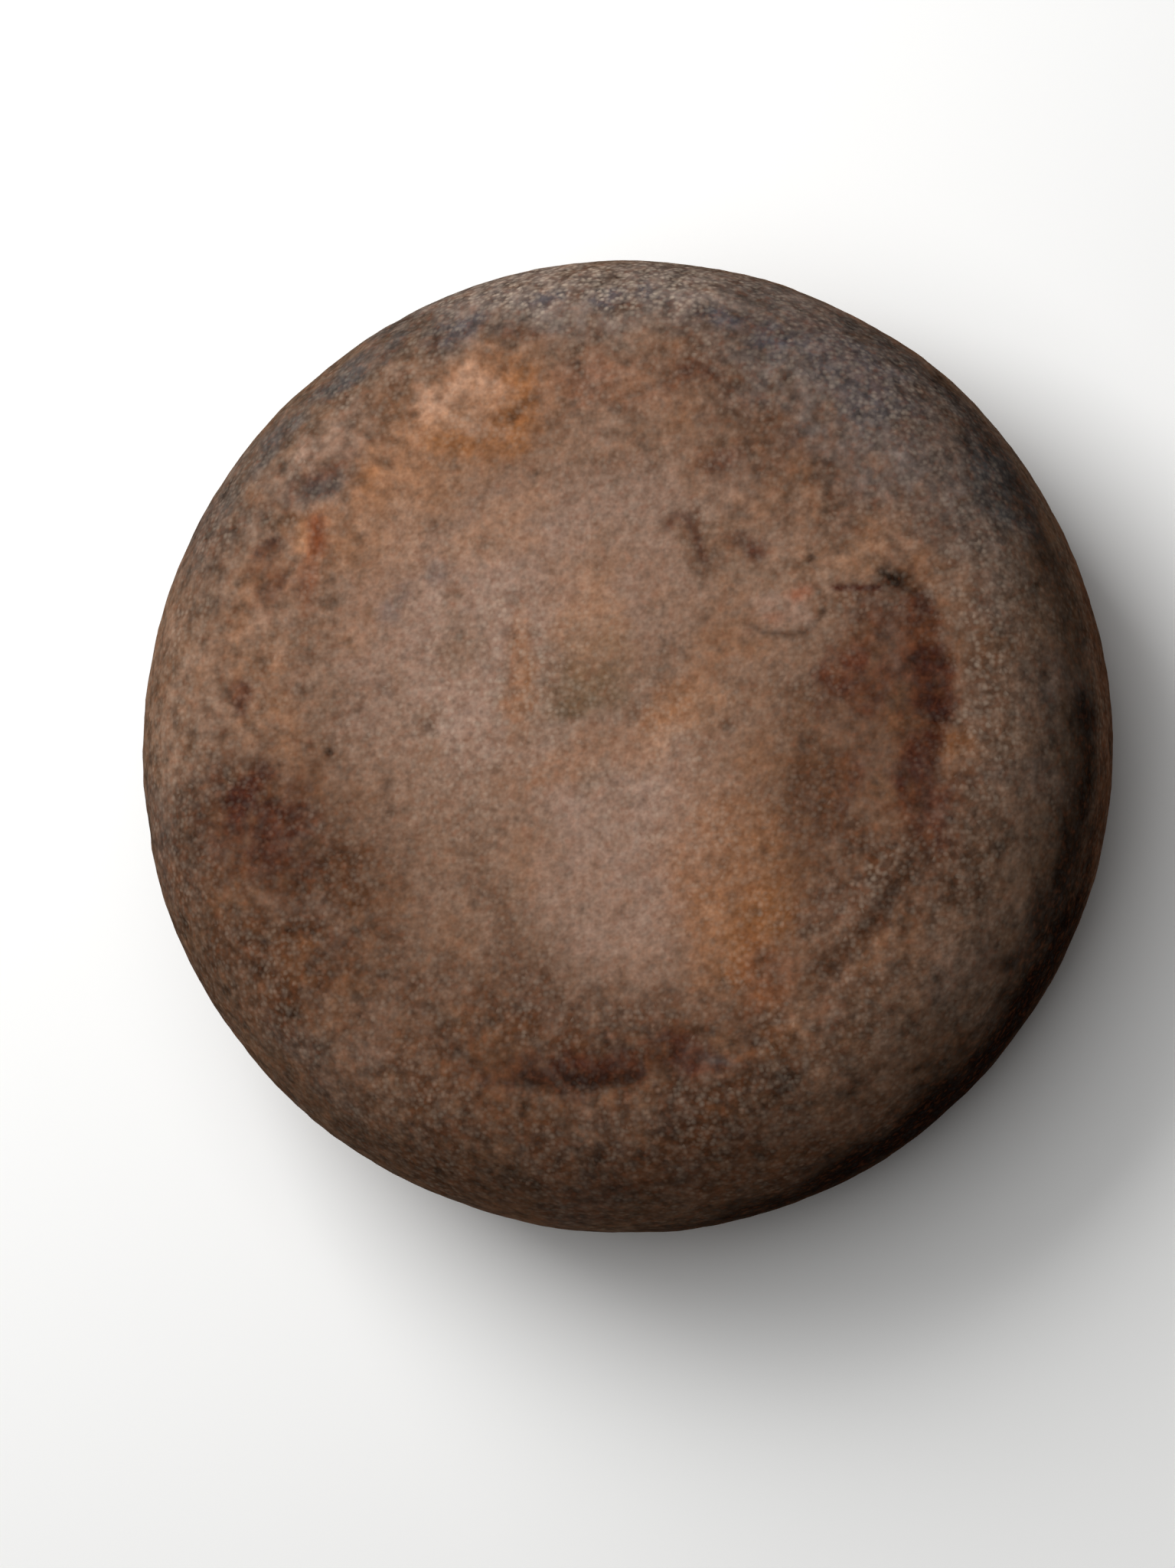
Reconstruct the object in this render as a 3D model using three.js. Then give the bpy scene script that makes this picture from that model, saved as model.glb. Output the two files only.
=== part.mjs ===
// A whole wheel of matured, Gouda-style cheese, lying on one of its two flat faces.
//
// Units are millimetres and +Z is up. The origin is the middle of the bottom face, where the wheel rests.
// The wheel is one solid body with its rind on. From the axis outwards, its section is a flat face, a rounded
// shoulder and a bulging side. The upper face is dished a little inside the low ring that a press lid leaves.

import * as THREE from "three";

// Driving dimensions.
const DIAMETER = 350; // across the widest part of the side, before the wheel is drawn out of round
const THICKNESS = 124; // from the surface it rests on to the top of the ring
const FACE_SHARE = 0.73; // each flat face's radius, as a share of the wheel's radius
const SIDE_POWER = 2.25; // 2 would round the side like an ellipse, and more squares its shoulders
const OVALITY = 0.006; // how much longer and shorter the wheel is than round, as a share of its radius
const OVAL_ANGLE = -Math.PI / 6; // where it is longest, from +X towards +Y

// The upper face's relief. Places and widths are shares of the wheel's radius.
const RING_HEIGHT = 1.4;
const RING_PLACE = 0.655;
const RING_WIDTH = 0.05;
const GROOVE_DEPTH = 1.3;
const GROOVE_PLACE = 0.735;
const GROOVE_WIDTH = 0.022;
const DISH_DEPTH = 1.5;

// Fineness of the mesh.
const TURNS = 72; // steps round the axis
const FACE_STEPS = 6; // steps from the axis to the bottom face's edge
const SIDE_STEPS = 24; // steps round the side, from one face's edge to the other's
const RELIEF_STEPS = 20; // steps from the upper face's edge to the axis
const RELIEF_CROWDING = 1.7; // above 1, the upper face's steps crowd towards its edge, where the ring is

const radius = DIAMETER / 2;
const faceRadius = radius * FACE_SHARE;
const upperFace = THICKNESS - RING_HEIGHT;

function bump(share, place, width) {
  return Math.exp(-(((share - place) / width) ** 2));
}

// How far the upper face stands above or below its own level, at a share of the radius from the axis.
function relief(share) {
  const ring = RING_HEIGHT * bump(share, RING_PLACE, RING_WIDTH);
  const groove = GROOVE_DEPTH * bump(share, GROOVE_PLACE, GROOVE_WIDTH);
  const dish = DISH_DEPTH * Math.max(0, 1 - (share / RING_PLACE) ** 2) ** 2;
  return ring - groove - dish;
}

// A sine or cosine bent so that a circle drawn with it becomes a superellipse.
function squared(value) {
  return Math.sign(value) * Math.abs(value) ** (2 / SIDE_POWER);
}

function bottomFace() {
  return Array.from({ length: FACE_STEPS }, (_, i) => new THREE.Vector2((faceRadius * i) / FACE_STEPS, 0));
}

function side() {
  return Array.from({ length: SIDE_STEPS + 1 }, (_, i) => {
    const angle = Math.PI * (i / SIDE_STEPS - 0.5);
    const r = faceRadius + (radius - faceRadius) * squared(Math.cos(angle));
    const z = (upperFace / 2) * (1 + squared(Math.sin(angle)));
    return new THREE.Vector2(r, z + (angle > 0 ? relief(r / radius) : 0));
  });
}

function topFace() {
  return Array.from({ length: RELIEF_STEPS }, (_, i) => {
    const r = faceRadius * (1 - ((i + 1) / RELIEF_STEPS) ** RELIEF_CROWDING);
    return new THREE.Vector2(r, upperFace + relief(r / radius));
  });
}

// Draws the round body out along OVAL_ANGLE, and sets it back over the origin.
function drawnOut(geometry) {
  const place = geometry.getAttribute("position");
  for (let i = 0; i < place.count; i++) {
    const turn = Math.atan2(place.getY(i), place.getX(i)) - OVAL_ANGLE;
    const scale = 1 + OVALITY * Math.cos(2 * turn);
    place.setXY(i, place.getX(i) * scale, place.getY(i) * scale);
  }
  geometry.computeBoundingBox();
  const middle = geometry.boundingBox.getCenter(new THREE.Vector3());
  return geometry.translate(-middle.x, -middle.y, -geometry.boundingBox.min.z);
}

function cheeseWheel() {
  const body = new THREE.LatheGeometry([...bottomFace(), ...side(), ...topFace()], TURNS);
  body.rotateX(Math.PI / 2); // from three.js's upright Y axis to the part's Z axis
  const wheel = new THREE.Mesh(
    drawnOut(body),
    new THREE.MeshStandardMaterial({ color: 0x6c5444, roughness: 0.85, metalness: 0 }),
  );
  wheel.name = "cheese_wheel";
  return wheel;
}

const part = new THREE.Group();
part.add(cheeseWheel());

export default part;
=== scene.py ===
# A whole wheel of matured, Gouda-style cheese with a mottled brown rind, lying on one of its flat faces.
#
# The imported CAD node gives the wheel's box and place. The rind made here is a much finer body on the same
# outline, with the unevenness, ring, scars and pits of a real rind. It stands for the CAD node.
# Lengths are in metres and +Z is up. Angles are in degrees from +X towards +Y, seen from above.

import math

import bpy
import numpy as np
from mathutils import Matrix, Vector, noise


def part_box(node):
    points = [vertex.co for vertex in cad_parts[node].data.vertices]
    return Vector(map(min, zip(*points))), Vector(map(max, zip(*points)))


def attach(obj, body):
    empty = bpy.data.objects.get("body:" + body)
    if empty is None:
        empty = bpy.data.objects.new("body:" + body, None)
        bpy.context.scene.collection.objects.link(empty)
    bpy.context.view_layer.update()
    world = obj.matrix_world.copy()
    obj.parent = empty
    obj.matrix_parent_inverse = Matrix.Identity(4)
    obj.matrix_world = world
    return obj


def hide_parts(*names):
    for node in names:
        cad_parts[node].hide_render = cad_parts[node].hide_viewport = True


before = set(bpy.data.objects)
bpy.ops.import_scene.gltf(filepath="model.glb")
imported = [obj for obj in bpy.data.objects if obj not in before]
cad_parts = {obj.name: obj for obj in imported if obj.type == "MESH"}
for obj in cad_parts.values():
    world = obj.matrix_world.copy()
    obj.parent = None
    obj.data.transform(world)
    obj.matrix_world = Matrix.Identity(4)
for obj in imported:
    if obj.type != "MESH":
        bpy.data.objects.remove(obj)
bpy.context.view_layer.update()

MM = 0.001
LOW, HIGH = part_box("cheese_wheel")
MIDDLE = (LOW + HIGH) / 2
RADIUS = (HIGH.x - LOW.x + HIGH.y - LOW.y) / 4
THICKNESS = HIGH.z - LOW.z

# The outline and the upper face's relief, as the CAD node has them. Places and widths are shares of RADIUS.
FACE_SHARE = 0.73
SIDE_POWER = 2.25
OVALITY = 0.006
OVAL_ANGLE = -30
RING_HEIGHT = 1.4 * MM
RING_PLACE = 0.655
RING_WIDTH = 0.05
GROOVE_DEPTH = 1.3 * MM
GROOVE_PLACE = 0.735
GROOVE_WIDTH = 0.022
DISH_DEPTH = 1.5 * MM
UPPER_FACE = THICKNESS - RING_HEIGHT

# Fineness of the mesh: steps along each side of the cube that it is blown up from, and how dense its points
# are at the bottom and at the top, one relative to the other.
CUBE_STEPS = 128
BOTTOM_FINENESS = 0.4
TOP_FINENESS = 1.7

# How much of the ring and groove shows all round, how much more of them shows towards +X, and how much that
# varies at random.
PRESS_HOLD = 0.55
PRESS_LEAN = 0.35
PRESS_UNEVEN = 0.3

# The body's unevenness.
SWELL_HEIGHT = 0.7 * MM
LUMP_HEIGHT = 0.3 * MM
GRAIN_HEIGHT = 0.16 * MM
FOOT_HEIGHT = 12 * MM  # below this, the swells and lumps die away towards the ground

# The hollows scattered over it. A hollow's width and depth are drawn at random between two limits.
PIT_SEED = 11
PIT_COUNT = 420
PIT_DEPTH = 0.7 * MM
PIT_HALF_WIDTHS = (1.2, 3.2)  # in millimetres
PIT_DEPTH_SHARES = (0.3, 1.0)

# Tints, as sRGB colours.
TINTS = {
    "brown": "7e6250",
    "mauve": "8f7465",
    "peach": "a48069",
    "tan": "a07455",
    "ochre": "885834",
    "rust": "74432c",
    "salmon": "955c45",
    "umber": "4a3122",
    "maroon": "402119",
    "olive": "4f3f28",
    "side": "5c493b",
    "ash": "675b55",
    "slate": "444140",
    "blue": "424147",
    # near black: the rind's real dark marks, and also the painted shade on the side
    "soot_and_painted_shade": "140c08",
    "dust": "cbb8a4",
}

# Patches of colour on the upper half: tint, middle, half length and half width in millimetres, the way the
# length runs, and strength. Later ones lie over earlier ones.
PATCHES = [
    # the darker ground round the middle, partly the rind's tone and partly painted shade of the light's
    # fall-off
    ("umber", 104, -34, 92, 50, 70, 0.75),
    ("umber", 10, -135, 130, 55, 0, 0.85),
    ("umber", 92, 106, 84, 46, -45, 0.75),
    # the next two also hold a painted shadow, as of a cut wedge standing beside the wheel towards -X -Y
    ("umber", -108, -60, 68, 52, 118, 0.95),
    ("umber", -36, -100, 38, 34, 0, 0.5),
    # the paler middle, and the darker places in it
    ("mauve", -38, 25, 60, 55, 90, 0.9),
    ("mauve", 18, -42, 42, 58, 8, 0.9),
    ("mauve", 15, 60, 55, 40, 0, 0.5),
    ("tan", 4, 36, 16, 28, 8, 0.45),
    ("tan", -30, 68, 26, 10, 20, 0.35),
    ("olive", -2, 14, 30, 24, 20, 0.3),
    ("brown", -16, -36, 12, 16, 10, 0.45),
    ("olive", -44, 30, 12, 9, -20, 0.25),
    ("brown", -62, 4, 16, 12, 30, 0.4),
    ("olive", 10, -20, 12, 8, 30, 0.25),
    ("tan", 34, -4, 24, 12, 30, 0.4),
    ("brown", -48, -22, 34, 16, -20, 0.5),
    # painted light: the shoulder's outer edge lightened, at the left and then from the right round to the
    # bottom
    ("brown", -150, 20, 24, 56, 0, 0.5),
    ("brown", 157, 6, 11, 32, 0, 0.4),
    ("brown", 150, -42, 11, 30, -15, 0.4),
    ("brown", 134, -84, 12, 30, -32, 0.6),
    ("brown", 94, -126, 36, 11, 38, 0.3),
    # the grey of the upper shoulder
    ("ash", 5, 153, 90, 20, 0, 0.85),
    ("ash", 92, 112, 74, 30, -44, 0.8),
    ("slate", 94, 110, 60, 24, -44, 0.25),
    ("ash", 140, 60, 40, 16, -72, 0.4),
    # warm patches
    ("ochre", -40, 112, 34, 22, 15, 0.6),
    ("peach", -51, 119, 14, 13, 0, 0.7),
    ("peach", -36, 116, 13, 14, 0, 0.65),
    ("peach", -49, 108, 13, 8, 10, 0.4),
    ("ochre", -45, 98, 16, 5, 0, 0.9),
    ("ochre", -22, 103, 14, 7, 40, 0.6),
    ("ochre", -20, 118, 8, 12, 0, 0.6),
    ("ochre", -77, 89, 10, 8, 40, 0.7),
    ("ochre", -94, 68, 15, 16, 0, 0.35),
    ("rust", 12, 118, 30, 14, 0, 0.25),
    ("umber", 54, 92, 34, 22, -20, 0.3),
    ("ochre", 52, -58, 29, 45, 14, 0.5),
    ("ochre", 55, -74, 18, 26, 12, 0.3),
    ("rust", 66, -92, 14, 14, 0, 0.3),
    ("ochre", -21, 16, 6, 30, 0, 0.5),
    ("ochre", -2, -14, 28, 9, 24, 0.35),
    ("ochre", 30, 4, 16, 8, 36, 0.4),
    ("ochre", -105, 3, 9, 13, 0, 0.3),
    ("tan", -114, 29, 12, 16, 0, 0.15),
    ("tan", -62, 82, 44, 18, 48, 0.3),
    ("tan", 96, 53, 14, 9, 0, 0.35),
    ("ochre", 133, -18, 6, 13, 0, 0.25),
    ("ochre", 74, -116, 10, 5, 20, 0.2),
    ("tan", 107, -80, 6, 4, 20, 0.2),
    # dark patches inside the ring and along it, and a few greyer ones
    ("olive", 2, 10, 15, 12, 30, 0.4),
    ("olive", 50, 56, 20, 12, -30, 0.2),
    ("umber", 44, 58, 12, 8, -60, 0.5),
    ("maroon", 64, 55, 6, 4, -5, 0.8),
    ("maroon", 61, 59, 12, 4, -5, 0.5),
    ("maroon", 97, 10, 13, 12, 30, 0.8),
    ("rust", 96, 14, 10, 7, 20, 0.35),
    ("maroon", 94, -24, 9, 12, 0, 0.6),
    ("umber", 85, -28, 13, 36, 12, 0.7),
    ("maroon", 108, 22, 16, 20, 0, 0.45),
    ("maroon", 121, 30, 8, 18, 5, 0.7),
    ("maroon", 121, 6, 9, 34, 2, 1.0),
    ("maroon", 120, -30, 11, 20, -12, 0.9),
    ("maroon", 129, -36, 9, 16, -10, 0.6),
    ("maroon", 4, -121, 46, 9, 4, 0.75),
    ("maroon", 40, -117, 24, 7, 5, 0.6),
    ("maroon", -114, -34, 24, 26, 0, 0.65),
    ("maroon", -122, -24, 6, 11, -10, 0.8),
    ("maroon", -114, -13, 9, 5, 30, 0.6),
    ("soot_and_painted_shade", 122, 4, 8, 32, 2, 0.25),
    ("soot_and_painted_shade", -112, -34, 24, 24, 0, 0.1),
    ("mauve", -96, 96, 26, 12, 40, 0.5),
    ("umber", -88, 96, 18, 8, 30, 0.5),
    ("maroon", -98, 90, 18, 4, 25, 0.5),
    ("rust", -98, 57, 7, 13, 0, 0.5),
    ("maroon", -114, 65, 7, 4, 30, 0.7),
    ("maroon", -112, 54, 9, 9, 0, 0.6),
    ("maroon", -125, 14, 5, 10, 0, 0.8),
    ("blue", -67, 45, 4, 11, -35, 0.4),
    ("blue", -52, 55, 7, 5, 0, 0.4),
    ("maroon", 40, 120, 14, 6, -10, 0.5),
    ("maroon", 51, 90, 14, 6, 10, 0.4),
    ("maroon", -21, 138, 12, 4, 0, 0.5),
    ("umber", -21, 111, 9, 2, 50, 0.6),
    ("soot_and_painted_shade", 116, 42, 9, 5, -20, 0.7),
    ("umber", 26, -118, 8, 5, 0, 0.7),
    ("slate", 50, -118, 8, 3, 0, 0.6),
    # blue-grey bands on the shoulder
    ("slate", -91, 88, 20, 5, 20, 0.6),
    ("slate", -80, 134, 34, 8, 32, 0.8),
    ("slate", -114, 106, 26, 5, 48, 0.6),
    ("blue", -43, 142, 16, 5, 10, 0.55),
    ("blue", -14, 152, 12, 5, 0, 0.7),
    ("blue", 14, 151, 16, 5, 0, 0.7),
    ("blue", 50, 142, 12, 5, -18, 0.9),
    ("blue", 68, 133, 16, 7, -25, 0.7),
    ("blue", 96, 118, 36, 14, -42, 0.6),
    ("slate", 145, 80, 28, 9, -60, 0.9),
    # the small oval scar
    ("mauve", 71, 34, 13, 8, 10, 0.6),
    ("salmon", 70, 32, 4.5, 2.5, 0, 0.5),
]

# Patches of colour on the side: tint, turn in degrees, height in millimetres, the half sizes of both, and
# strength. Later ones lie over earlier ones.
SIDE_PATCHES = [
    ("rust", -5, 60, 36, 16, 0.4),
    ("umber", -5, 60, 36, 20, 0.8),
    ("umber", -75, 84, 40, 30, 0.2),
    # painted shade: darker brown low on the side towards turn -35, where it turns away from the light
    ("umber", -35, 36, 50, 22, 0.5),
    ("slate", 48, 92, 26, 14, 0.5),
    ("maroon", 60, 50, 26, 14, 0.4),
    ("ochre", 70, 64, 22, 26, 0.3),
    ("umber", 118, 50, 30, 26, 0.6),
    ("mauve", 150, 62, 24, 24, 0.35),
    ("slate", -170, 70, 26, 22, 0.5),
    ("ochre", -140, 56, 22, 20, 0.35),
    # painted shade: the side darkened to near black from turn -60 round to 30, where it turns away from the
    # light, with dark brown below
    ("umber", -20, 40, 80, 50, 0.6),
    ("soot_and_painted_shade", -58, 50, 36, 44, 0.65),
    ("soot_and_painted_shade", -47, 66, 46, 27, 1.0),
    ("soot_and_painted_shade", -14, 88, 22, 14, 0.85),
    ("soot_and_painted_shade", 12, 91, 18, 12, 0.4),
    ("soot_and_painted_shade", 30, 91, 20, 13, 0.4),
]

# Where more or less of the pale dust lies on the upper half: middle, half length and half width in
# millimetres, the way the length runs, and how much more.
DUST = [
    (-35, 15, 45, 55, 0, 0.13),
    (30, -40, 34, 50, 10, 0.08),
    (143, 20, 14, 60, 0, 0.12),
    (103, -62, 7, 28, -32, 0.14),
    (70, -105, 12, 5, 30, 0.08),
    (112, 0, 20, 42, 0, -0.08),
    (10, -122, 60, 12, 3, -0.06),
    (-112, -34, 28, 28, 0, -0.04),
    (100, 118, 50, 20, -42, 0.12),
    (0, 159, 76, 17, 0, 0.36),
]

# Furrows in the upper face: tint, half width and depth in millimetres, strength of the tint, and path. The
# shallowest ones are little more than lines of colour.
FURROWS = [
    ("maroon", 1.5, 0.5, 0.6, [(32, 66), (34, 70), (38, 70), (41, 65), (45, 54)]),
    ("maroon", 1.1, 0.5, 1.0, [(91, 42), (98, 41.5), (107, 41)]),
    ("soot_and_painted_shade", 1.2, 0.5, 0.5, [(60, 31), (66, 27.5), (76, 26), (83, 28), (87, 34)]),
    ("umber", 1.0, 0.3, 0.5, [(87, 34), (86, 41), (80, 45)]),
    ("soot_and_painted_shade", 3.0, 0.7, 0.85, [(109, 46), (113, 43)]),
    ("soot_and_painted_shade", 1.6, 0.8, 0.8, [(82, 52), (82.5, 53)]),
    ("soot_and_painted_shade", 1.5, 0.8, 0.9, [(-91, -8), (-90.5, -8.5)]),
    ("tan", 1.8, 0.0, 0.7, [(-101, 74), (-101, 66)]),
    ("rust", 3.0, 0.3, 1.0, [(-96, 74), (-95, 65)]),
    ("salmon", 2.0, 0.1, 0.6, [(77, 40), (81, 41)]),
    ("soot_and_painted_shade", 3.0, 0.7, 0.65, [(-18, -126), (-2, -127), (17, -126)]),
    ("soot_and_painted_shade", 5.0, 0.2, 0.5, [(70, -127), (72, -129)]),
    ("soot_and_painted_shade", 4.2, 0.8, 0.6, [(121, -52), (114, -63), (106, -73)]),
    ("umber", 3.2, 0.6, 0.6, [(106, -73), (97, -82), (88, -90)]),
]

# Where a patch begins and ends to fade out, as shares of its half sizes.
PATCH_FADE = (0.35, 1.2)
SIDE_PATCH_FADE = (0.3, 1.2)

# How far random lumps push the patches' edges about, at most: in millimetres on the upper half, in degrees
# round the side, and in millimetres up it.
SWAY = 7
SIDE_SWAY_TURN = 10
SIDE_SWAY_HEIGHT = 6

# Between which shares of RADIUS the faces' ground turns into the side's, and the calm middle of each face
# turns rough.
SIDE_EDGE = (0.72, 0.92)
ROUGH_EDGE = (0.4, 0.75)

# How much pale dust lies all over, how much its random mottling adds or takes, and how much more of it lies
# along the shoulder.
DUST_COVER = 0.10
DUST_MOTTLE = 0.06
DUST_SHOULDER = 0.04
SHOULDER_PLACE = 0.84
SHOULDER_WIDTH = 0.08

# The material's grain: the size of its random lumps, the height of its relief, and what the ground is
# multiplied by where it is darkest and lightest.
FINE_GRAIN = 2.3 * MM
COARSE_GRAIN = 4.5 * MM
TONE_GRAIN = 2.6 * MM
GRAIN_RELIEF = 0.9 * MM
DARK_GRAIN = (0.68, 0.65, 0.62, 1)
LIGHT_GRAIN = (1.28, 1.28, 1.28, 1)

# The material's dust: how far apart its specks lie, how far each reaches as a share of that, the size of
# its drifts, and the strength of both.
SPECK_SPACING = 1.9 * MM
SPECK_REACH = 0.75
SPECK_STRENGTH = 1.8
DRIFT_SIZE = 3.0 * MM
DRIFT_STRENGTH = 1.6

# The camera: its turn from -Y towards +X and its height, in degrees, its distance, its lens in millimetres,
# and how far to the right and up of the wheel's middle it aims.
VIEW_TURN = 60
VIEW_HEIGHT = 73
VIEW_DISTANCE = 2.0
LENS = 128.5
ASIDE = Vector((-0.0124, -0.0141))

# The studio.
FLOOR_HALF = 6.0
FLOOR_COLOUR = (0.93, 0.93, 0.92, 1)
FLOOR_ROUGHNESS = 0.9
SKY_COLOUR = (1, 1, 1, 1)
SKY_STRENGTH = 0.1


# ---- helpers for numbers on the surface ----

def bump(share, place, width):
    """A smooth rise from 0 to 1 and back, at `place`."""
    return np.exp(-(((share - place) / width) ** 2))


def smooth_step(value, low, high):
    t = np.clip((value - low) / (high - low), 0, 1)
    return t * t * (3 - 2 * t)


def mix(a, b, share):
    return a + (b - a) * share


def clouds(points, size, octaves, seed):
    """Smooth random values, about -1 to 1, with lumps about `size` across."""
    shift = Vector((seed * 17.3, seed * -9.1, seed * 5.7))
    fading, finer = 0.75, 2.0  # how fast each octave fades, and how many times finer than the last it is
    return np.array([noise.fractal(Vector(p) / size + shift, fading, finer, octaves) for p in points])


def linear(hex_colour):
    """A colour written as RRGGBB, as linear light."""
    parts = np.array([int(hex_colour[i:i + 2], 16) for i in (0, 2, 4)]) / 255
    return np.where(parts <= 0.04045, parts / 12.92, ((parts + 0.055) / 1.055) ** 2.4)


def colour(tint):
    return (*linear(TINTS[tint]), 1)


# ---- the body's shape ----

def outline(steps=600):
    """The plain outline, as radius and height, from the bottom face's middle to the upper face's middle."""
    face = RADIUS * FACE_SHARE
    angle = np.linspace(-math.pi / 2, math.pi / 2, steps)
    side_r = face + (RADIUS - face) * np.cos(angle).clip(0) ** (2 / SIDE_POWER)
    turned = np.sin(angle)
    side_z = UPPER_FACE / 2 * (1 + np.sign(turned) * np.abs(turned) ** (2 / SIDE_POWER))
    across = np.linspace(0, face, steps)[:-1]
    r = np.concatenate([across, side_r, across[::-1]])
    z = np.concatenate([across * 0, side_z, across * 0 + UPPER_FACE])
    return r, z


def cube_sides(steps):
    """The six sides of a cube, each a grid of whole-number points from -steps to steps."""
    line = np.arange(-steps, steps + 1, 2)
    u, v = np.meshgrid(line, line, indexing="ij")
    for axis in range(3):
        for sign in (1, -1):
            side = np.stack([np.full_like(u, sign * steps), sign * u, v], axis=-1)
            yield np.roll(side, axis, axis=-1)


def cube_grid(steps):
    """The cube's shared points, its faces, and the faces' corners on a map with a cell for each side."""
    grids = list(cube_sides(steps))
    everything = np.concatenate([g.reshape(-1, 3) for g in grids])
    points, place = np.unique(everything, axis=0, return_inverse=True)
    place = place.reshape(6, steps + 1, steps + 1)
    corners = [(0, 0), (1, 0), (1, 1), (0, 1)]
    faces = np.stack([place[:, i:i + steps, j:j + steps] for i, j in corners], axis=-1)
    return points / steps, faces.reshape(-1, 4), cube_map(steps, corners)


def cube_map(steps, corners, gap=0.006):
    """Each face's corners on a map, with the cube's six sides in two rows of three cells."""
    i, j = np.meshgrid(np.arange(steps), np.arange(steps), indexing="ij")
    maps = []
    for side in range(6):
        column, row = side % 3, side // 3
        u = [(column + gap + (1 - 2 * gap) * (i + di) / steps) / 3 for di, _ in corners]
        v = [(row + gap + (1 - 2 * gap) * (j + dj) / steps) / 2 for _, dj in corners]
        maps.append(np.stack([np.stack(u, -1), np.stack(v, -1)], -1).reshape(-1, 2))
    return np.concatenate(maps)


class Surface:
    """Where each point of the rind lies, and the random fields that its relief and its colours share."""

    def __init__(self, cube_points):
        self.lay_out(cube_points)
        self.share = self.r / RADIUS
        self.top = smooth_step(self.z, UPPER_FACE * 0.5, UPPER_FACE * 0.8)
        self.flat = self.points(0 * self.r)
        self.mm_x, self.mm_y = self.flat[:, 0] / MM, self.flat[:, 1] / MM
        self.blotch = clouds(self.flat, 60 * MM, 3, seed=4)
        self.mottle = clouds(self.flat, 24 * MM, 4, seed=6)
        self.lumps = clouds(self.flat, 20 * MM, 3, seed=2)
        self.grain = clouds(self.flat, 5 * MM, 2, seed=5)
        self.fleck = clouds(self.flat, 9 * MM, 3, seed=9)
        self.hue = clouds(self.flat, 11 * MM, 3, seed=12)
        self.sway_x = clouds(self.flat, 16 * MM, 3, seed=7)
        self.sway_y = clouds(self.flat, 16 * MM, 3, seed=8)

    def lay_out(self, cube_points):
        """Blows the cube up to a ball, and lays the ball's levels along the outline."""
        ball = np.tan(cube_points * math.pi / 4)
        ball /= np.linalg.norm(ball, axis=1, keepdims=True)
        self.turn = np.arctan2(ball[:, 1], ball[:, 0])
        r, z = outline()
        band = (r[1:] + r[:-1]) * np.hypot(np.diff(r), np.diff(z))
        band *= mix(BOTTOM_FINENESS, TOP_FINENESS, (z[1:] + z[:-1]) / 2 / UPPER_FACE)
        below = np.concatenate([[0], np.cumsum(band)])
        place = (1 + ball[:, 2]) / 2 * below[-1]
        self.r = np.interp(place, below, r)
        self.z = np.interp(place, below, z)
        length = np.hypot(np.gradient(r), np.gradient(z))
        self.out_r = np.interp(place, below, np.gradient(z) / length)
        self.out_z = np.interp(place, below, -np.gradient(r) / length)

    def points(self, lift):
        """The points, lifted off the plain outline by `lift` and drawn out of round."""
        r = self.r + lift * self.out_r
        z = np.maximum(self.z + lift * self.out_z, 0)
        r = r * (1 + OVALITY * np.cos(2 * (self.turn - math.radians(OVAL_ANGLE))))
        return np.stack([r * np.cos(self.turn), r * np.sin(self.turn), z], axis=1)


def press_relief(surface):
    """The ring, groove and dish that the press lid leaves on the upper face, stronger in some places."""
    hold = PRESS_HOLD + PRESS_LEAN * np.cos(surface.turn + 0.2)
    hold += PRESS_UNEVEN * clouds(surface.flat, 45 * MM, 2, seed=3)
    ring = RING_HEIGHT * bump(surface.share, RING_PLACE, RING_WIDTH)
    groove = GROOVE_DEPTH * bump(surface.share, GROOVE_PLACE, GROOVE_WIDTH)
    dish = DISH_DEPTH * np.clip(1 - (surface.share / RING_PLACE) ** 2, 0, None) ** 2
    return surface.top * ((ring - groove) * hold.clip(0.1, 1) - dish)


def unevenness(surface):
    """Slow swells of the body, lumps and grain. Only the grain runs on under the face that it rests on."""
    swell = SWELL_HEIGHT * clouds(surface.flat, 90 * MM, 2, seed=1)
    lumps = LUMP_HEIGHT * surface.lumps
    grain = GRAIN_HEIGHT * surface.grain
    off_ground = smooth_step(surface.z, 0, FOOT_HEIGHT)
    return off_ground * (swell + lumps - LUMP_HEIGHT) + grain


def path_distance(x, y, path):
    """How far each place is from a path of straight stretches."""
    nearest = np.full_like(x, np.inf)
    for (ax, ay), (bx, by) in zip(path, path[1:]):
        dx, dy = bx - ax, by - ay
        along = np.clip(((x - ax) * dx + (y - ay) * dy) / (dx * dx + dy * dy), 0, 1)
        nearest = np.minimum(nearest, np.hypot(x - ax - along * dx, y - ay - along * dy))
    return nearest


def furrows(surface):
    """The scars and cracks cut into the upper face."""
    depth = 0
    for _, width, deep, _, path in FURROWS:
        away = path_distance(surface.mm_x, surface.mm_y, path)
        depth = np.maximum(depth, deep * MM * bump(away, 0, width))
    return -surface.top * depth


def pits(surface):
    """How deep each point lies in one of the small hollows scattered over the whole rind, from 0 to 1."""
    chance = np.random.default_rng(PIT_SEED)
    hollow = np.zeros(len(surface.turn))
    for place in surface.flat[chance.integers(0, len(surface.flat), PIT_COUNT)]:
        width = chance.uniform(*PIT_HALF_WIDTHS) * MM
        deep = chance.uniform(*PIT_DEPTH_SHARES)
        away = np.linalg.norm(surface.flat - place, axis=1)
        hollow = np.maximum(hollow, deep * bump(away, 0, width))
    return hollow


# ---- the rind's colours ----

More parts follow.
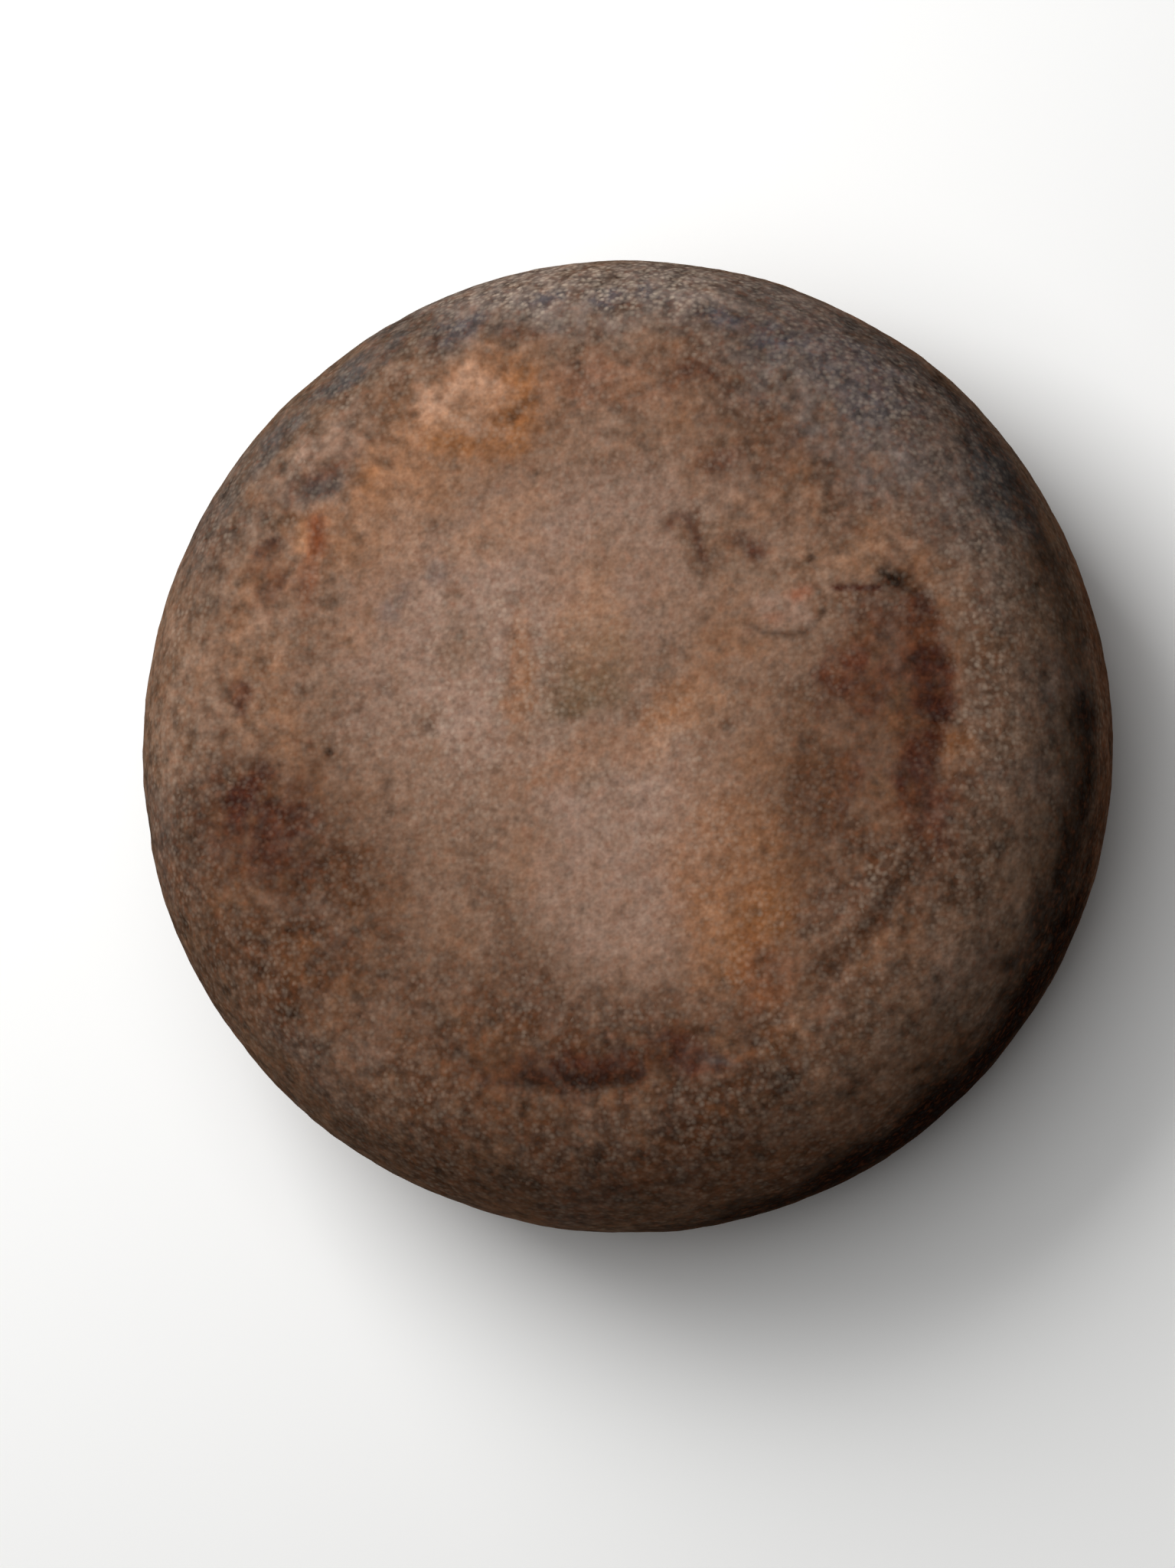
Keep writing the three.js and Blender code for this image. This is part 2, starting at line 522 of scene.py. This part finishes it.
def patch_share(surface, x, y, long, wide, turn):
    """How far each place is inside a ragged oval patch on the upper half, from 0 to 1."""
    turn = math.radians(turn)
    sway = min(SWAY, 0.7 * min(long, wide))
    dx = surface.mm_x + sway * surface.sway_x - x
    dy = surface.mm_y + sway * surface.sway_y - y
    along = dx * math.cos(turn) + dy * math.sin(turn)
    across = dy * math.cos(turn) - dx * math.sin(turn)
    away = np.hypot(along / long, across / wide)
    return 1 - smooth_step(away, *PATCH_FADE)


def side_share(surface, turn, height, wide, high):
    """How far each place is inside a ragged patch on the side, from 0 to 1."""
    away = np.degrees(surface.turn) - turn + SIDE_SWAY_TURN * surface.lumps
    away = (away + 180) % 360 - 180
    above = surface.z / MM - height + SIDE_SWAY_HEIGHT * surface.mottle
    return 1 - smooth_step(np.hypot(away / wide, above / high), *SIDE_PATCH_FADE)


def tinted(ground, tint, share):
    """The ground with a share of the tint laid over each point."""
    return mix(ground, linear(TINTS[tint]), share.clip(0, 1)[:, None])


def plain_ground(surface, side):
    """Brown on the flat faces and darker on the side, in slow random blotches."""
    ground = np.tile(linear(TINTS["brown"]), (len(side), 1))
    ground = tinted(ground, "side", side)
    ground = tinted(ground, "slate", 0.6 * side * smooth_step(surface.blotch, 0.0, 0.5))
    ground = tinted(ground, "umber", 0.35 * smooth_step(surface.mottle, 0.0, 0.6))
    return tinted(ground, "ochre", 0.25 * smooth_step(-surface.mottle, 0.1, 0.7) * (1 - 0.5 * side))


def flecked(ground, surface, side, rough):
    """The ground with small random flecks of other tints over it, more of them where it is rough."""
    flecks = mix(0.25, 0.45, rough)
    ground = tinted(ground, "ochre", 0.4 * flecks * smooth_step(surface.hue, 0.05, 0.7) * (1 - 0.5 * side))
    ground = tinted(ground, "mauve", 0.4 * flecks * smooth_step(-surface.hue, 0.1, 0.8) * (1 - 0.6 * side))
    ground = tinted(ground, "umber", flecks * smooth_step(surface.fleck, 0.0, 0.9))
    return tinted(ground, "tan", 0.35 * flecks * smooth_step(-surface.fleck, 0.2, 0.8))


def patched(ground, surface):
    """The ground with the patches of the upper half over it."""
    broken = 1 + 0.35 * surface.mottle + 0.35 * surface.fleck
    for tint, x, y, long, wide, turn, strength in PATCHES:
        inside = patch_share(surface, x, y, long, wide, turn)
        ground = tinted(ground, tint, surface.top * strength * broken * inside)
    return ground


def side_patched(ground, surface, side):
    """The ground with the patches of the side over it."""
    broken = 1 + 0.3 * surface.fleck
    for tint, turn, height, wide, high, strength in SIDE_PATCHES:
        inside = side_share(surface, turn, height, wide, high)
        ground = tinted(ground, tint, side * strength * inside * broken)
    return ground


def furrowed(ground, surface):
    """The ground with the tints that lie in the furrows and a little way up their banks."""
    for tint, width, _, strength, path in FURROWS:
        near = bump(path_distance(surface.mm_x, surface.mm_y, path), 0, width * 1.15)
        ground = tinted(ground, tint, surface.top * strength * near)
    return ground


def streaks(surface, rough):
    """How much lighter or darker than its tint each point is, as a share of it."""
    grain = mix(0.15, 0.5, rough) * surface.grain
    fleck = mix(0.14, 0.4, rough) * surface.fleck
    return grain + fleck + mix(0.06, 0.22, rough) * surface.lumps


def ground_colours(surface, hollow):
    """The rind's colour at each point under its dust, with some painted shade and painted light in it. It is
    calmer near the middle of each face.
    """
    side = smooth_step(surface.share + 0.03 * surface.mottle, *SIDE_EDGE)
    rough = smooth_step(surface.share + 0.1 * surface.blotch, *ROUGH_EDGE)
    ground = patched(plain_ground(surface, side), surface)
    ground = flecked(ground, surface, side, rough)
    ground = furrowed(side_patched(ground, surface, side), surface)
    ground = tinted(ground, "soot_and_painted_shade", 0.5 * hollow)
    return ground * (1 + streaks(surface, rough))[:, None]


def dust_cover(surface):
    """How much of the pale dust lies at each point, from 0 to 1. Less of it lies on the side's painted
    shade.
    """
    shoulder = bump(surface.share, SHOULDER_PLACE, SHOULDER_WIDTH)
    cover = DUST_COVER + DUST_MOTTLE * surface.mottle + DUST_SHOULDER * shoulder
    for x, y, long, wide, turn, more in DUST:
        cover = cover + surface.top * more * patch_share(surface, x, y, long, wide, turn)
    # the side's patches of the darkest tint are painted shade, kept clear of dust
    for tint, turn, height, wide, high, strength in SIDE_PATCHES:
        if tint == "soot_and_painted_shade":
            cover = cover * (1 - strength * side_share(surface, turn, height, wide, high))
    return cover.clip(0, 1)


def store(mesh, name, values):
    """Keeps a number or a colour for each point, for the material to read."""
    if values.ndim == 1:
        kept = mesh.attributes.new(name, "FLOAT", "POINT")
        kept.data.foreach_set("value", values.astype(np.float32))
        return
    colours = np.concatenate([values.clip(0, 1), np.ones((len(values), 1))], axis=1)
    kept = mesh.attributes.new(name, "FLOAT_COLOR", "POINT")
    kept.data.foreach_set("color", colours.astype(np.float32).ravel())


def make_rind():
    points, faces, uv = cube_grid(CUBE_STEPS)
    surface = Surface(points)
    hollow = pits(surface)
    lift = press_relief(surface) + unevenness(surface) + furrows(surface) - PIT_DEPTH * hollow
    placed = surface.points(lift) + np.array([MIDDLE.x, MIDDLE.y, LOW.z])
    mesh = bpy.data.meshes.new("wheel_rind")
    mesh.from_pydata(placed.tolist(), [], faces.tolist())
    mesh.uv_layers.new(name="OFBake").data.foreach_set("uv", uv.ravel())
    store(mesh, "ground", ground_colours(surface, hollow))
    store(mesh, "dust", dust_cover(surface))
    mesh.shade_smooth()
    mesh.materials.append(rind_material())
    rind = bpy.data.objects.new("wheel_rind", mesh)
    bpy.context.collection.objects.link(rind)
    return rind


# ---- material ----

class Nodes:
    """Short ways to make and join the nodes of one material."""

    def __init__(self, material):
        material.use_nodes = True
        self.tree = material.node_tree
        self.shader = self.tree.nodes["Principled BSDF"]

    def add(self, kind, links=None, **settings):
        """A node with the given settings. Each link goes to the input of that name or number."""
        node = self.tree.nodes.new(kind)
        for name, value in settings.items():
            setattr(node, name, value)
        for place, value in (links or {}).items():
            self.feed(node.inputs[place], value)
        return node

    def feed(self, socket, value):
        """Joins an output to the socket, or sets the socket to a constant."""
        if isinstance(value, bpy.types.NodeSocket):
            self.tree.links.new(value, socket)
        else:
            socket.default_value = value

    def math(self, operation, a, b, clamp=False):
        return self.add("ShaderNodeMath", {0: a, 1: b}, operation=operation, use_clamp=clamp).outputs[0]

    def times(self, a, b, clamp=False):
        return self.math("MULTIPLY", a, b, clamp)

    def centred(self, value):
        return self.math("SUBTRACT", value, 0.5)

    def blend(self, share, a, b, kind="MIX"):
        """Lays a share of b over a. Inputs 6 and 7 and output 2 are the ones for colours."""
        node = self.add("ShaderNodeMix", {"Factor": share, 6: a, 7: b}, data_type="RGBA", blend_type=kind)
        return node.outputs[2]

    def lumps(self, size, detail, where):
        """Noise from 0 to 1 with lumps about `size` across."""
        links = {"Vector": where, "Scale": 1 / size, "Detail": detail, "Roughness": 0.6}
        return self.add("ShaderNodeTexNoise", links).outputs[0]


def grained(nodes, ground, grain, where):
    """The ground, rustier or greyer in small random places, and darker or lighter with the grain."""
    tone = nodes.centred(nodes.lumps(TONE_GRAIN, 1.0, where))
    rusty = nodes.blend(nodes.times(tone, 1.0, clamp=True), ground, colour("rust"))
    greyer = nodes.blend(nodes.times(tone, -0.8, clamp=True), rusty, colour("slate"))
    dark = nodes.blend(1.0, greyer, DARK_GRAIN, "MULTIPLY")
    light = nodes.blend(1.0, greyer, LIGHT_GRAIN, "MULTIPLY")
    return nodes.blend(grain, dark, light)


def dust_grain(nodes, where):
    """Where the dust shows, from 0 to 1: in round specks of all strengths, and in soft drifts."""
    cells = nodes.add("ShaderNodeTexVoronoi", {"Vector": where, "Scale": 1 / SPECK_SPACING})
    spots = nodes.math("SUBTRACT", SPECK_REACH, cells.outputs["Distance"], clamp=True)
    specks = nodes.times(nodes.times(spots, cells.outputs["Color"]), SPECK_STRENGTH)
    drifts = nodes.times(nodes.centred(nodes.lumps(DRIFT_SIZE, 1.0, where)), DRIFT_STRENGTH)
    return nodes.math("ADD", specks, drifts, clamp=True)


def rind_material():
    """Reads the ground and the dust kept on the mesh, and adds the grain too fine for its points."""
    material = bpy.data.materials.new("rind")
    nodes = Nodes(material)
    where = nodes.add("ShaderNodeTexCoord").outputs["Object"]
    ground = nodes.add("ShaderNodeAttribute", attribute_name="ground").outputs["Color"]
    dust = nodes.add("ShaderNodeAttribute", attribute_name="dust").outputs["Fac"]
    fine = nodes.centred(nodes.lumps(FINE_GRAIN, 1.0, where))
    coarse = nodes.centred(nodes.lumps(COARSE_GRAIN, 2.0, where))

    grain = nodes.math("ADD", nodes.times(fine, 1.15), coarse)
    grain = nodes.math("ADD", grain, 0.5, clamp=True)
    cover = nodes.times(dust_grain(nodes, where), dust)
    dusted = nodes.blend(cover, grained(nodes, ground, grain, where), colour("dust"))
    nodes.feed(nodes.shader.inputs["Base Color"], dusted)

    rough = nodes.add("ShaderNodeMapRange", {"Value": grain, "To Min": 0.8, "To Max": 0.95})
    nodes.feed(nodes.shader.inputs["Roughness"], rough.outputs[0])
    nodes.shader.inputs["Specular IOR Level"].default_value = 0.0

    height = nodes.math("ADD", nodes.times(fine, 0.5), nodes.times(coarse, 0.7))
    relief = nodes.add("ShaderNodeBump", {"Height": height, "Distance": GRAIN_RELIEF, "Strength": 0.6})
    nodes.feed(nodes.shader.inputs["Normal"], relief.outputs[0])
    return material


# ---- studio ----

def direction(turn, height):
    """Which way lies at a turn from +X towards +Y, and a height above level, in degrees."""
    turn, height = math.radians(turn), math.radians(height)
    return Vector((math.cos(turn) * math.cos(height), math.sin(turn) * math.cos(height), math.sin(height)))


def make_camera():
    """Looks down on the upper face, with +Y up the picture."""
    back = direction(VIEW_TURN - 90, VIEW_HEIGHT)
    right = Vector((0, 1, 0)).cross(back).normalized()
    up = back.cross(right)
    data = bpy.data.cameras.new("camera")
    data.lens = LENS
    camera = bpy.data.objects.new("camera", data)
    aim = Vector((MIDDLE.x, MIDDLE.y, THICKNESS / 2)) + right * ASIDE.x + up * ASIDE.y
    turned = Matrix((right, up, back)).transposed().to_4x4()
    camera.matrix_world = Matrix.Translation(aim + back * VIEW_DISTANCE) @ turned
    bpy.context.collection.objects.link(camera)
    bpy.context.scene.camera = camera


def softbox(name, turn, height, distance, size, power):
    """A square area light that looks at the upper face's middle from a turn and a height."""
    towards = direction(turn, height)
    data = bpy.data.lights.new(name, "AREA")
    data.size = size
    data.energy = power
    light = bpy.data.objects.new(name, data)
    light.location = Vector((MIDDLE.x, MIDDLE.y, THICKNESS)) + towards * distance
    light.rotation_mode = "QUATERNION"
    light.rotation_quaternion = (-towards).to_track_quat("-Z", "Y")
    bpy.context.collection.objects.link(light)


def light_scene():
    softbox("key", turn=135, height=46, distance=1.35, size=0.95, power=16.3)
    softbox("overhead", turn=135, height=80, distance=1.6, size=1.8, power=16.3)
    world = bpy.data.worlds.new("studio")
    world.use_nodes = True
    sky = world.node_tree.nodes["Background"]
    sky.inputs["Color"].default_value = SKY_COLOUR
    sky.inputs["Strength"].default_value = SKY_STRENGTH
    bpy.context.scene.world = world
    bpy.context.scene.view_settings.view_transform = "Standard"


def floor_material():
    material = bpy.data.materials.new("floor")
    material.use_nodes = True
    shader = material.node_tree.nodes["Principled BSDF"]
    shader.inputs["Base Color"].default_value = FLOOR_COLOUR
    shader.inputs["Roughness"].default_value = FLOOR_ROUGHNESS
    return material


def make_floor():
    mesh = bpy.data.meshes.new("floor")
    corners = [(x * FLOOR_HALF, y * FLOOR_HALF, LOW.z) for x, y in [(-1, -1), (1, -1), (1, 1), (-1, 1)]]
    mesh.from_pydata(corners, [], [(0, 1, 2, 3)])
    mesh.materials.append(floor_material())
    floor = bpy.data.objects.new("floor", mesh)
    bpy.context.collection.objects.link(floor)


rind = make_rind()
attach(rind, "root")
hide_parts("cheese_wheel")
make_floor()
light_scene()
make_camera()
